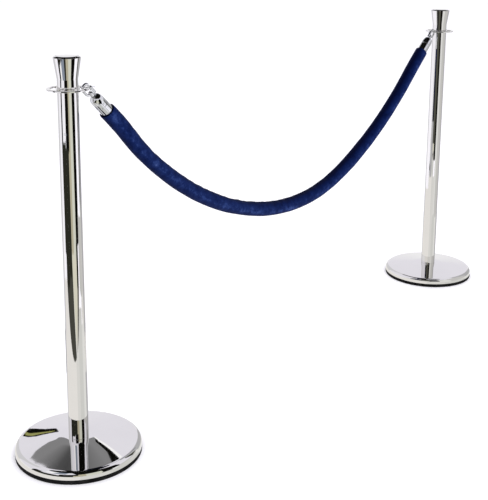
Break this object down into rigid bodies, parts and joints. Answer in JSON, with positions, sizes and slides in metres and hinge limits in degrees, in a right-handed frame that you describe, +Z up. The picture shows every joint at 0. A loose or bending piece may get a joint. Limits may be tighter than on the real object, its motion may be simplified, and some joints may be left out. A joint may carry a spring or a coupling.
{
  "type": "post and rope barrier set",
  "caption": "Free-standing polished steel posts with flared crowns and slotted rope rings, joined by a hanging padded velvet rope with swivelling snap hooks.",
  "frame": {"origin": "on the floor, midway between the two posts", "axes": "+Z up; +X along the line from the left post to the right post; +Y away from the side that is seen first"},
  "size_m": [2.065, 0.32, 1.015],
  "materials": {
    "polished_steel": "mirror polished stainless steel",
    "chrome": "bright chrome plate",
    "zinc_steel": "turned, zinc plated",
    "spring_steel": "bright drawn wire",
    "cast_iron": "rough casting, painted black",
    "rubber": "matt moulded rubber",
    "velvet": "deep blue cotton velvet",
    "foam_padding": "soft foam sleeve",
    "cotton_core": "laid cotton cord"
  },
  "bodies": {
    "posts": {"left_floor_ring": "rubber", "left_base_weight": "cast_iron", "left_base_cover": "polished_steel", "left_base_bolt": "zinc_steel", "left_bolt_washer": "zinc_steel", "left_foot_plug": "zinc_steel", "left_post_tube": "polished_steel", "left_top_plug": "zinc_steel", "left_rope_ring": "polished_steel", "left_crown_stud": "zinc_steel", "left_crown_insert": "zinc_steel", "left_crown_shell": "polished_steel", "left_crown_lid": "polished_steel", "right_floor_ring": "rubber", "right_base_weight": "cast_iron", "right_base_cover": "polished_steel", "right_base_bolt": "zinc_steel", "right_bolt_washer": "zinc_steel", "right_foot_plug": "zinc_steel", "right_post_tube": "polished_steel", "right_top_plug": "zinc_steel", "right_rope_ring": "polished_steel", "right_crown_stud": "zinc_steel", "right_crown_insert": "zinc_steel", "right_crown_shell": "polished_steel", "right_crown_lid": "polished_steel"},
    "rope": {"rope_core": "cotton_core", "rope_padding": "foam_padding", "rope_cover": "velvet", "left_rope_ferrule": "chrome", "left_core_pin": "chrome", "right_rope_ferrule": "chrome", "right_core_pin": "chrome"},
    "left_hook": {"left_hook_body": "chrome", "left_gate_spring": "spring_steel", "left_barrel_plug": "chrome", "left_swivel_stud": "chrome"},
    "left_gate": {"left_gate_bolt": "chrome"},
    "right_hook": {"right_hook_body": "chrome", "right_gate_spring": "spring_steel", "right_barrel_plug": "chrome", "right_swivel_stud": "chrome"},
    "right_gate": {"right_gate_bolt": "chrome"}
  },
  "joints": [
    {"name": "rope_swing", "type": "hinge", "parent": "posts", "child": "rope", "pos_m": [-0.0009, -0.0055, 0.941], "axis": [1, 0.0097, 0], "range_deg": [-25, 25]},
    {"name": "left_hook_swivel", "type": "hinge", "parent": "rope", "child": "left_hook", "pos_m": [-0.8281, -0.0135, 0.9326], "axis": [0.7193, 0.007, -0.6947], "range_deg": [-12, 12]},
    {"name": "left_gate_slide", "type": "slide", "parent": "left_hook", "child": "left_gate", "axis": [0.7193, 0.007, -0.6947], "range_m": [0, 0.006], "stiffness_N_per_m": 400, "springref_m": -0.004, "deforming": ["left_gate_spring"]},
    {"name": "right_hook_swivel", "type": "hinge", "parent": "rope", "child": "right_hook", "pos_m": [0.8263, 0.0025, 0.9326], "axis": [-0.766, -0.0074, -0.6428], "range_deg": [-12, 12]},
    {"name": "right_gate_slide", "type": "slide", "parent": "right_hook", "child": "right_gate", "axis": [-0.766, -0.0074, -0.6428], "range_m": [0, 0.006], "stiffness_N_per_m": 400, "springref_m": -0.004, "deforming": ["right_gate_spring"]}
  ]
}
